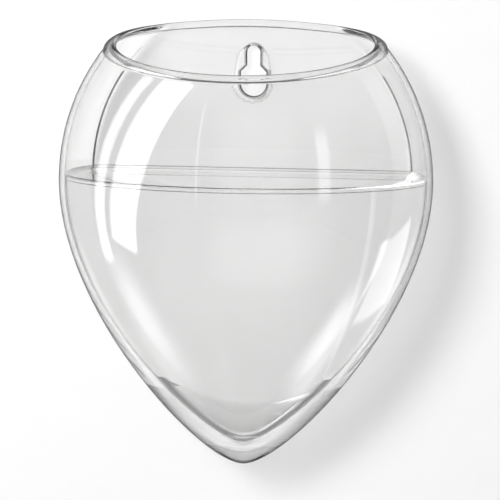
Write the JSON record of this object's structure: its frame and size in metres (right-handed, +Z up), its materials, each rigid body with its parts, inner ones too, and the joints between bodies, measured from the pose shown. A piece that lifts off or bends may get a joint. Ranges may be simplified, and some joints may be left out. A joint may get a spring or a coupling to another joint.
{
  "type": "wall-mounted hydroponic vase",
  "caption": "Clear blown-glass teardrop vase with a flat back, a sloping oval mouth with a round bead for a lip, a heavy solid tip and a keyhole for hanging on a wall, part filled with water.",
  "frame": {"origin": "the centre of the keyhole slot's round top, where the wall screw sits, on the wall plane that the flat back rests on", "axes": "+Y into the wall, square to the flat back; +Z up; +X to the right for someone facing the vase, which stands out toward -Y"},
  "size_m": [0.15, 0.082, 0.1772],
  "materials": {
    "clear_glass": "fire-polished, clear and colourless",
    "water": "still clear water"
  },
  "bodies": {
    "root": {"glass_vessel": "clear_glass", "water": "water"}
  },
  "joints": []
}
